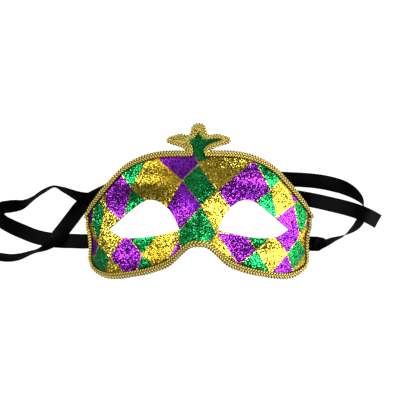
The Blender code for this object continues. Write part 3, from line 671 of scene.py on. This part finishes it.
def ribbon_axes(path):
    """Unit ways across a ribbon and out of its upper face, at each point of its path.

    The way across is the level one at right angles to the path times the lean's
    cosine, plus the one at right angles to both times its sine.
    """
    tangent = np.gradient(path[:, :3], axis=0)
    flat = unit(tangent * np.array([1.0, 1.0, 0.0]))
    level = np.stack([-flat[:, 1], flat[:, 0], np.zeros(len(path))], axis=1)
    tangent = unit(tangent)
    lean = np.radians(path[:, 3])[:, None]
    over = level * np.cos(lean) + np.cross(tangent, level) * np.sin(lean)
    return over, np.cross(tangent, over)


def make_ribbon(name, node, side, run, satin):
    """A thin woven strip along its stations, with slightly thicker woven edges.

    A spot is the middle plus its way across times the axis across. The two faces
    stand half the thickness off that, and 1.6 times so at the edges. A slow sine
    of the way along, times a cosine of the way across, bows it by up to 0.25 mm.
    It is lowered by RIBBON_LEVEL less half its thickness, and spots that would
    sink are pressed to just over the surface, in their order of height.
    """
    path = smooth_path(ribbon_stations(side, run))
    length = np.linalg.norm(np.diff(path[:, :3], axis=0), axis=1).sum()
    rows = int(length / RIBBON_STEP)
    path = at_shares(path, np.linspace(0.0, 1.0, rows))
    over, face = ribbon_axes(path)
    way = np.linspace(-1.0, 1.0, RIBBON_COLUMNS)
    along = np.linspace(0.0, length, rows)
    bow = BOW * np.sin(along / BOW_ALONG)[:, None] * np.cos(way * BOW_ACROSS)[None, :]
    thick = RIBBON_THICK / 2 * (1.0 + EDGE_EXTRA * (np.abs(way) > EDGE_START))
    sheet = path[:, None, :3] + over[:, None] * way[None, :, None] * RIBBON_WIDTH / 2
    upper = sheet + face[:, None] * (thick[None, :] + bow)[..., None]
    lower = sheet + face[:, None] * (bow - thick[None, :])[..., None]
    loop = np.concatenate([upper, lower[:, ::-1]], axis=1)
    loop[..., 2] -= RIBBON_LEVEL - RIBBON_THICK / 2
    pressed = PRESS_LEVEL + PRESS_SHARE * (loop[..., 2] + PRESS_DEPTH)
    loop[..., 2] = np.maximum(loop[..., 2], pressed)
    piece = mesh_piece(name, placed(loop.reshape(-1, 3)), tube_faces(*loop.shape[:2]), satin)
    round_it = np.concatenate([way, way[::-1]]) * RIBBON_WIDTH / 2
    spots = np.stack(np.broadcast_arrays(along[:, None], round_it), axis=-1)
    set_flat_map(piece, "along_across", spots.reshape(-1, 2) / 1000.0)
    line = path[:, :3].copy()
    line[:, 2] = np.maximum(line[:, 2] - CORD_DROP, CORD_FOOT)
    line = placed(line[np.linspace(0, rows - 1, CORD_POINTS).astype(int)])
    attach(piece, "root")
    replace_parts(piece, node)


def edge_paths():
    """The moulded edge of one half: below to the temple corner, and on to the brow.

    Both are smoothed over the middle, and so pass it without a kink.
    """
    lower, upper = (smooth_path(mirrored(from_shares(edge)))
                    for edge in (LOWER_EDGE, UPPER_EDGE[::-1]))
    return lower[len(lower) // 2:], upper[len(upper) // 2:][::-1]


def half_plan(rows, fine):
    """Plan grid of one half, eye opening out to the edge, and its middle columns.

    Columns run straight from opening to edge, both cut into matching stretches.
    """
    lower, upper = edge_paths()
    middle = np.array([upper[-1], lower[0]])
    eye_upper, eye_lower = smooth_path(from_shares(EYE_UPPER)), smooth_path(from_shares(EYE_LOWER))
    lobe_end = share_of_point(lower, from_shares(LOBE_EDGE)[-1])
    temple_middle = share_of_point(lower, from_shares(TEMPLE_LOWER)[-1])
    lobe, temple, brow, centre = (count * fine for count in HALF_COLUMNS)
    edge = np.vstack([
        section(lower, 0.0, lobe_end, lobe), section(lower, lobe_end, temple_middle, temple),
        section(lower, temple_middle, 1.0, temple), section(upper, 0.0, 1.0, brow),
        section(middle, 0.0, 1.0, centre),
    ])
    eye = np.vstack([
        section(eye_lower, 0.0, EYE_LOBE_END, lobe), section(eye_lower, EYE_LOBE_END, 1.0, temple),
        section(eye_upper, 0.0, EYE_TEMPLE_END, temple),
        section(eye_upper, EYE_TEMPLE_END, EYE_BROW_END, brow),
        section(eye_upper, EYE_BROW_END, 1.0, centre),
    ])
    share = np.linspace(0.0, 1.0, rows + 1)[None, :, None]
    return eye[:, None, :] * (1.0 - share) + edge[:, None, :] * share, centre


def both_halves(points, faces):
    """One half's points and faces with their mirror image, sharing those on the middle."""
    count = len(points)
    mirror = points * np.array([-1.0, 1.0, 1.0])
    number = np.arange(count) + count
    on_middle = np.abs(points[:, 0]) < 1e-6
    number[on_middle] = np.nonzero(on_middle)[0]
    faces = np.vstack([faces, number[faces][:, ::-1]])
    used = np.unique(faces)
    renumber = np.full(2 * count, -1)
    renumber[used] = np.arange(len(used))
    return np.vstack([points, mirror])[used], renumber[faces]


def polygon_depth(spots, corners):
    """Signed distance from a polygon's border, negative inside.

    The distance is the least to any edge, and a spot is inside where a ray
    crosses the edges an odd number of times.
    """
    corners = np.array(corners)
    after = np.roll(corners, -1, axis=0)
    nearest = np.full(len(spots), np.inf)
    inside = np.zeros(len(spots), dtype=bool)
    for start, end in zip(corners, after):
        edge = end - start
        share = np.clip((spots - start) @ edge / (edge @ edge), 0.0, 1.0)
        nearest = np.minimum(nearest, np.linalg.norm(spots - start - share[:, None] * edge, axis=1))
        between = (start[1] > spots[:, 1]) != (end[1] > spots[:, 1])
        rise = edge[1] if edge[1] != 0.0 else 1e-9
        inside ^= between & (spots[:, 0] < start[0] + edge[0] * (spots[:, 1] - start[1]) / rise)
    return np.where(inside, -nearest, nearest)


def make_glitter_coat(glitter):
    """The coat of diamonds: a dense sheet just over the moulded front.

    It stands SKIN_GAP off the front face, and LINE_HEIGHT more on a border
    between two diamonds, falling off as a smooth step over twice the half width.
    """
    plan, centre = half_plan(*COAT_GRID)
    columns, rows = plan.shape[:2]
    face = front_point(plan[..., 0], plan[..., 1])
    to_trim = np.linalg.norm(face - face[:, -1:], axis=2) - BRAID_WIDTH + BRAID_OVERHANG
    # The last columns end on the middle, where no trim runs
    to_trim[columns - centre:] = BRAID_WIDTH
    flat = np.column_stack([plan.reshape(-1, 2), to_trim.ravel()])
    points, faces = both_halves(flat, grid_faces(columns, rows, wrap_rows=True))
    spots, to_trim = points[:, :2], points[:, 2]
    depth = np.array([polygon_depth(spots, corners) for _, corners in DIAMONDS])
    names = np.array([name for name, _ in DIAMONDS])
    order = np.sort(depth, axis=0)
    to_line = (order[1] - order[0]) / 2.0
    x, y = spots[:, 0], spots[:, 1]
    lift = SKIN_GAP + LINE_HEIGHT * smoothstep(2.0 * LINE_HALF_WIDTH, 0.0, to_line)
    body = front_point(x, y) + front_normal(x, y) * lift[:, None]
    body[:, 2] = np.maximum(body[:, 2], COAT_FOOT)
    coat = mesh_piece("glitter_coat", placed(body), faces, glitter)
    for name in ("green", "gold", "purple"):
        set_values(coat, "to_" + name, depth[names == name].min(axis=0))
    set_values(coat, "to_line", to_line)
    set_values(coat, "to_trim", to_trim)
    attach(coat, "root")


def make_moulded_shell(plastic):
    """The plastic wall: front face, back one WALL inside it, and the cut edges."""
    plan, centre = half_plan(*SHELL_GRID)
    columns, rows = plan.shape[:2]
    x, y = plan[..., 0], plan[..., 1]
    front = front_point(x, y)
    back = front - front_normal(x, y) * WALL
    loop = np.concatenate([front, back[:, ::-1]], axis=1)
    loop[..., 2] = np.maximum(loop[..., 2], 0.0)
    faces = grid_faces(columns, 2 * rows, wrap_rows=True, wrap_columns=True)
    # The two halves meet on the middle, so no cut edge closes them there
    column, ring = np.indices((columns, 2 * rows)).reshape(2, -1)
    inner = (column >= columns - centre) & (ring == rows - 1)
    points, faces = both_halves(loop.reshape(-1, 3), faces[~inner])
    shell = mesh_piece("moulded_shell", placed(points), faces, plastic)
    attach(shell, "root")
    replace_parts(shell, "mask_shell")


def crest_plane():
    """Middle point, up direction and normal of the plane that the crest lies in."""
    base = front_point(0.0, BROW_UP)
    ahead = unit(front_point(0.0, BROW_UP + 0.1) - front_point(0.0, BROW_UP - 0.1))
    return base, ahead, np.array([0.0, -ahead[2], ahead[1]])


def on_crest(plan, offset):
    """Plan points lifted onto the crest's plane, and offset along its normal."""
    base, ahead, normal = crest_plane()
    along = (plan[..., 1] - base[1]) / ahead[1]
    across = plan[..., :1] * np.array([1.0, 0.0, 0.0])
    return base + across + along[..., None] * ahead + normal * offset


def crest_plate(name, outline, low, high, material):
    """A flat plate of an outline on the crest's plane, between two offsets."""
    outline = np.array(outline)
    count = len(outline)
    points = np.vstack([on_crest(outline, high), on_crest(outline, low)])
    number = np.arange(count)
    after = (number + 1) % count
    sides = np.column_stack([number, number + count, after + count, after]).tolist()
    faces = [list(range(count)), list(range(2 * count - 1, count - 1, -1))] + sides
    plate = mesh_piece(name, placed(points), faces, material, smooth=False)
    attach(plate, "root")


def make_crest(plastic, glitter, gimp):
    """The crest's plates: its plastic, the glitter on it, and the ground of its gimp.

    The ground's outline follows the trim's outer line, then goes back round the field.
    """
    outline = full_outline(from_shares(CREST_EDGE))
    crest_plate("crest_back", outline, -WALL, 0.0, plastic)
    crest_plate("crest_field", outline, 0.0, SKIN_GAP, glitter)
    ground = full_outline(from_shares(CREST_TRIM_OUTER)) + from_shares(CREST_FIELD)
    crest_plate("crest_gimp_base", ground, *GROUND_LEVELS, gimp)


def braid_relief(along):
    """Height over the backing, and painted shade, of a gimp of two wrapped cores.

    Each core is a half circle across. The wrap adds the absolute cosine of the
    way along plus the way across, leaning opposite ways on the two cores, and the
    painted shade is what is missing from a full turn or from the half circle.
    """
    first = BRAID_ACROSS < 0.5
    side = np.where(first, 1.0, -1.0)
    way = np.clip((BRAID_ACROSS - np.where(first, *CORE_CENTRES)) / CORE_REACH, -1.0, 1.0)
    turn = along[:, None] / TURN_PITCH + side * way * TURN_SLANT + TURN_STAGGER * side
    wrap = np.abs(np.cos(math.pi * turn))
    bulge = np.sqrt(1.0 - CORE_ROUND * way ** 2)
    height = TAPE_HEIGHT + BRAID_HEIGHT * (CORE_SHARE + WRAP_SHARE * wrap) * bulge
    hollow_shade = TURN_SHADE * (1.0 - wrap) ** TURN_POWER + SIDE_SHADE * np.abs(way) ** SIDE_POWER
    return height, np.clip(hollow_shade, 0.0, 1.0)


def picots(along):
    """How far the outer spots are pushed out: small loops, one each PICOT_PITCH.

    A squared sine of the way along, less the further a spot lies across.
    """
    rise = PICOT_RISE * np.sin(math.pi * along / PICOT_PITCH) ** 2
    fall = np.clip(1.0 - BRAID_ACROSS / PICOT_SHARE, 0.0, 1.0)
    return rise[:, None] * fall[None, :]


def strip_spots(path, along):
    """Front face points and normals of a trim along an edge path, edge inwards.

    The overhang turns into a small inset where the edge nears z = 0. Picots push
    the first spots out, and the slope beside the edge shortens the way in plan.
    """
    inward = inward_ways(path)
    edge_height = front_height(path[:, 0], path[:, 1])
    over = TRIM_INSET - (TRIM_INSET + BRAID_OVERHANG) * smoothstep(*TRIM_LIFT, edge_height)
    probe = path + inward * TRIM_PROBE
    slope = (front_height(probe[:, 0], probe[:, 1]) - edge_height) / TRIM_PROBE
    reach = over[:, None] + BRAID_WIDTH * BRAID_ACROSS[None, :] - picots(along)
    step = (reach - np.minimum(edge_height, 0.0)[:, None]) / np.sqrt(1.0 + slope ** 2)[:, None]
    spot = path[:, None] + inward[:, None] * step[..., None]
    return front_point(spot[..., 0], spot[..., 1]), front_normal(spot[..., 0], spot[..., 1])


def braid_piece(name, base, normal, along, gimp, mirror=False):
    """A closed strip of gimp over a grid of base points and normals.

    Its top stands the gap and the relief off the base, and its backing, with a
    fourth of the spots, the gap and BACKING_RISE.
    """
    height, hollow_shade = braid_relief(along)
    top = base + normal * (BRAID_GAP + height)[..., None]
    backing = base[:, ::-4] + normal[:, ::-4] * (BRAID_GAP + BACKING_RISE)
    loop = np.concatenate([top, backing], axis=1)
    loop[..., 2] = np.maximum(loop[..., 2], BRAID_FOOT)
    # The backing takes the full painted shade
    hollow_shade = np.concatenate([hollow_shade, np.ones(backing.shape[:2])], axis=1)
    faces = tube_faces(*loop.shape[:2])
    if mirror:
        loop = loop * np.array([-1.0, 1.0, 1.0])
        faces = [face[::-1] for face in faces]
    strip = mesh_piece(name, placed(loop.reshape(-1, 3)), faces, gimp)
    set_values(strip, "hollow_shade", hollow_shade)
    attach(strip, "root")
    return strip


def make_edge_trims(gimp):
    """The lower trim in one run from temple to temple, and the two brow arcs.

    The arcs run on straight at the temples, and rise there by a smooth step.
    """
    lower = smooth_path(mirrored(from_shares(LOWER_EDGE)), TRIM_DENSE)
    cut = TRIM_END_GAP / path_length(lower)
    path, along = evenly(at_shares(lower, np.linspace(cut, 1.0 - cut, LOWER_POINTS)))
    base, normal = strip_spots(path, along)
    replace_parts(braid_piece("gimp_lower", base, normal, along, gimp), "braid_lower")
    upper = edge_paths()[1]
    upper = np.vstack([upper[0] + BROW_TAIL * unit(upper[0] - upper[1]), upper])
    share = 1.0 - NECK_CLEAR / path_length(upper)
    path, along = evenly(at_shares(upper, np.linspace(0.0, share, BROW_POINTS)))
    base, normal = strip_spots(path, along)
    base = base + normal * (TAIL_LIFT * smoothstep(TAIL_LENGTH, 0.0, along))[:, None, None]
    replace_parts(braid_piece("gimp_brow_right", base, normal, along, gimp), "braid_upper")
    braid_piece("gimp_brow_left", base, normal, along, gimp, mirror=True)


def make_crest_trims(gimp):
    """Gimp on the crest: round its edge with picots, round its field, up its left leaf.

    Spots lie at right angles to a run's line, at one level over the crest's face.
    """
    for name, line, width, level, looped in (
            ("gimp_crest", full_outline(from_shares(CREST_TRIM_OUTER)),
             CREST_BRAID_WIDTH, EDGE_LEVEL, True),
            ("gimp_crest_inner", from_shares(CREST_FIELD), CREST_INNER_WIDTH, FIELD_LEVEL, False),
            ("gimp_crest_leaf", from_shares(CREST_LEAF_VEIN),
             CREST_INNER_WIDTH, LEAF_LEVEL, False)):
        path, along = evenly(smooth_path(line, TRIM_DENSE))
        reach = width * BRAID_ACROSS - looped * picots(along)
        base = on_crest(path[:, None] + inward_ways(path)[:, None] * reach[..., None], level)
        normal = np.broadcast_to(crest_plane()[2], base.shape)
        braid_piece(name, base, normal, along, gimp)


def make_floor():
    """A white light table: it glows evenly to the eye, so that no shadow greys it.

    Only the camera sees the full glow, and little of it lights the mask from below.
    """
    material, tree, shader = new_material("light_table", roughness=0.75, metallic=0.0)
    shader.inputs["Base Color"].default_value = srgb("#8C8C8C")
    shader.inputs["Emission Color"].default_value = srgb("#FFFFFF")
    seen = add_node(tree, "ShaderNodeLightPath").outputs["Is Camera Ray"]
    glow = add_node(tree, "ShaderNodeMapRange", {},
                    {"Value": seen, "To Min": FLOOR_GLOW, "To Max": 1.0})
    tree.links.new(glow.outputs[0], shader.inputs["Emission Strength"])
    corners = FLOOR_REACH * np.array([(-1.0, -1.0, 0.0), (1.0, -1.0, 0.0),
                                      (1.0, 1.0, 0.0), (-1.0, 1.0, 0.0)])
    floor = mesh_piece("table_top", corners, [(0, 1, 2, 3)], material)


def add_light(name, place, side, watts):
    """A square soft light of the given side and power, aimed at the mask."""
    lamp = bpy.data.lights.new(name, "AREA")
    lamp.size = side
    lamp.energy = watts
    item = bpy.data.objects.new(name, lamp)
    item.location = place
    way = np.array(LIGHT_AIM) - np.array(place)
    flat = math.hypot(way[0], way[1])
    item.rotation_euler = (math.atan2(flat, -way[2]), 0.0, math.atan2(way[1], way[0]) - math.pi / 2)
    bpy.context.scene.collection.objects.link(item)


def make_lights():
    """Two soft boxes at the sides, the right one larger and lower, in a dim room.

    The flat middle of the face then stays dark and its turned sides shine.
    """
    add_light("right_box", (1.25, -0.05, 0.42), side=0.8, watts=23.5)
    add_light("left_box", (-0.70, 0.25, 0.95), side=0.70, watts=14.0)
    world = bpy.data.worlds.new("dim_room")
    world.use_nodes = True
    room = world.node_tree.nodes["Background"].inputs
    room["Color"].default_value = srgb("#FFFFFF")
    room["Strength"].default_value = ROOM_LIGHT
    bpy.context.scene.world = world
    bpy.context.scene.view_settings.view_transform = "Standard"


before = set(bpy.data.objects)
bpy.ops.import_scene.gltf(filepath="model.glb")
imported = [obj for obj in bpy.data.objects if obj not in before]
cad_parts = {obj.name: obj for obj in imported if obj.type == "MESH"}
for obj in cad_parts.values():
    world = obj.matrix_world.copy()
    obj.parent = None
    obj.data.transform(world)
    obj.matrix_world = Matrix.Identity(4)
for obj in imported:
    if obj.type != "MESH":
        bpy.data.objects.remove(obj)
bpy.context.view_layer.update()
make_camera()
satin = make_satin()
make_ribbon("tie_ribbon_left", "ribbon_left", -1.0, LEFT_RIBBON_RUN, satin)
make_ribbon("tie_ribbon_right", "ribbon_right", 1.0, RIGHT_RIBBON_RUN, satin)
plastic = make_moulded_plastic()
gimp = make_gimp()
make_moulded_shell(plastic)
make_glitter_coat(make_diamond_glitter())
make_crest(plastic, make_crest_glitter(), gimp)
make_edge_trims(gimp)
make_crest_trims(gimp)
make_floor()
make_lights()
